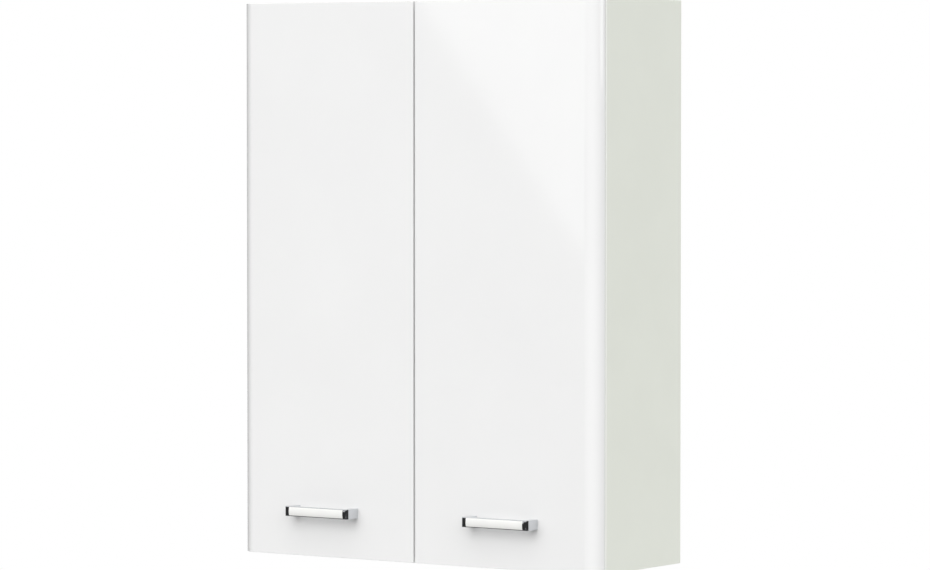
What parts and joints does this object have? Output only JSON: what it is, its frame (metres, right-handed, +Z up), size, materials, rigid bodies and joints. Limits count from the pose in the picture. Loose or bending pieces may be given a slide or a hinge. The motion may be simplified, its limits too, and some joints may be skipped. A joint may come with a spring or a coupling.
{
  "type": "hanging wall cabinet",
  "caption": "Shallow hanging wall cabinet with gloss doors on concealed hinges, bow handles, inner shelves and a steel rail to hook it on a wall.",
  "frame": {"origin": "middle of the wall rail's rear face, on the wall plane, 60 mm below the cabinet's top", "axes": "+X to the right of someone facing the doors, +Y into the wall, +Z up"},
  "size_m": [0.6, 0.242, 0.78],
  "materials": {
    "gloss_front": "high-gloss white lacquer or foil on MDF, polished smooth",
    "melamine": "white melamine-faced chipboard, fine matt texture, slightly greenish grey",
    "back_board": "white lacquered hardboard, satin",
    "chrome": "polished chrome plate on zinc",
    "handle_strip": "gloss white plastic strip, slightly crowned",
    "hinge_nickel": "nickel-plated pressed steel, satin",
    "zinc_plate": "bright zinc plate on steel",
    "zinc_cast": "die-cast zinc, dull",
    "hanger_plastic": "white moulded plastic, satin"
  },
  "bodies": {
    "carcass": {"back_panel": "back_board", "bottom_panel": "melamine", "cam_bolt_left_bottom": "zinc_cast", "cam_bolt_left_top": "zinc_cast", "cam_bolt_right_bottom": "zinc_cast", "cam_bolt_right_top": "zinc_cast", "cam_left_bottom": "zinc_cast", "cam_left_top": "zinc_cast", "cam_right_bottom": "zinc_cast", "cam_right_top": "zinc_cast", "hanger_hook_left": "zinc_plate", "hanger_hook_right": "zinc_plate", "hanger_housing_left": "hanger_plastic", "hanger_housing_right": "hanger_plastic", "hinge_arm_left_bottom": "hinge_nickel", "hinge_arm_left_top": "hinge_nickel", "hinge_arm_right_bottom": "hinge_nickel", "hinge_arm_right_top": "hinge_nickel", "mounting_plate_left_bottom": "hinge_nickel", "mounting_plate_left_top": "hinge_nickel", "mounting_plate_right_bottom": "hinge_nickel", "mounting_plate_right_top": "hinge_nickel", "shelf_lower": "melamine", "shelf_pin_left_lower_front": "hinge_nickel", "shelf_pin_left_lower_rear": "hinge_nickel", "shelf_pin_left_upper_front": "hinge_nickel", "shelf_pin_left_upper_rear": "hinge_nickel", "shelf_pin_right_lower_front": "hinge_nickel", "shelf_pin_right_lower_rear": "hinge_nickel", "shelf_pin_right_upper_front": "hinge_nickel", "shelf_pin_right_upper_rear": "hinge_nickel", "shelf_upper": "melamine", "side_panel_left": "melamine", "side_panel_right": "melamine", "top_panel": "melamine", "wall_rail": "zinc_plate"},
    "door_left": {"door_left": "gloss_front", "handle_bow_left": "chrome", "handle_insert_left": "handle_strip", "handle_screw_left_inner": "zinc_plate", "handle_screw_left_outer": "zinc_plate", "hinge_cup_left_bottom": "hinge_nickel", "hinge_cup_left_top": "hinge_nickel"},
    "outer_links_left": {"hinge_outer_link_left_bottom": "hinge_nickel", "hinge_outer_link_left_top": "hinge_nickel"},
    "inner_links_left": {"hinge_inner_link_left_bottom": "hinge_nickel", "hinge_inner_link_left_top": "hinge_nickel"},
    "door_right": {"door_right": "gloss_front", "handle_bow_right": "chrome", "handle_insert_right": "handle_strip", "handle_screw_right_inner": "zinc_plate", "handle_screw_right_outer": "zinc_plate", "hinge_cup_right_bottom": "hinge_nickel", "hinge_cup_right_top": "hinge_nickel"},
    "outer_links_right": {"hinge_outer_link_right_bottom": "hinge_nickel", "hinge_outer_link_right_top": "hinge_nickel"},
    "inner_links_right": {"hinge_inner_link_right_bottom": "hinge_nickel", "hinge_inner_link_right_top": "hinge_nickel"}
  },
  "joints": [
    {"name": "outer_link_turn_left", "type": "hinge", "parent": "carcass", "child": "outer_links_left", "pos_m": [-0.2625, -0.1825, 0], "axis": [0, 0, -1], "range_deg": [-29.47, 0]},
    {"name": "door_swing_left", "type": "hinge", "parent": "outer_links_left", "child": "door_left", "pos_m": [-0.2894, -0.1947, 0], "axis": [0, 0, -1], "range_deg": [0, 124.45]},
    {"name": "inner_link_turn_left", "type": "hinge", "parent": "carcass", "child": "inner_links_left", "pos_m": [-0.2639, -0.2023, 0], "axis": [0, 0, -1], "range_deg": [-35.74, 0]},
    {"name": "outer_link_turn_right", "type": "hinge", "parent": "carcass", "child": "outer_links_right", "pos_m": [0.2625, -0.1825, 0], "axis": [0, 0, 1], "range_deg": [-29.47, 0]},
    {"name": "door_swing_right", "type": "hinge", "parent": "outer_links_right", "child": "door_right", "pos_m": [0.2894, -0.1947, 0], "axis": [0, 0, 1], "range_deg": [0, 124.45]},
    {"name": "inner_link_turn_right", "type": "hinge", "parent": "carcass", "child": "inner_links_right", "pos_m": [0.2639, -0.2023, 0], "axis": [0, 0, 1], "range_deg": [-35.74, 0]}
  ],
  "couplings": [
    {"joint": "outer_link_turn_left", "follows": "door_swing_left", "ratio": -0.23664},
    {"joint": "inner_link_turn_left", "follows": "door_swing_left", "ratio": -0.28702},
    {"joint": "outer_link_turn_right", "follows": "door_swing_right", "ratio": -0.23664},
    {"joint": "inner_link_turn_right", "follows": "door_swing_right", "ratio": -0.28702}
  ]
}
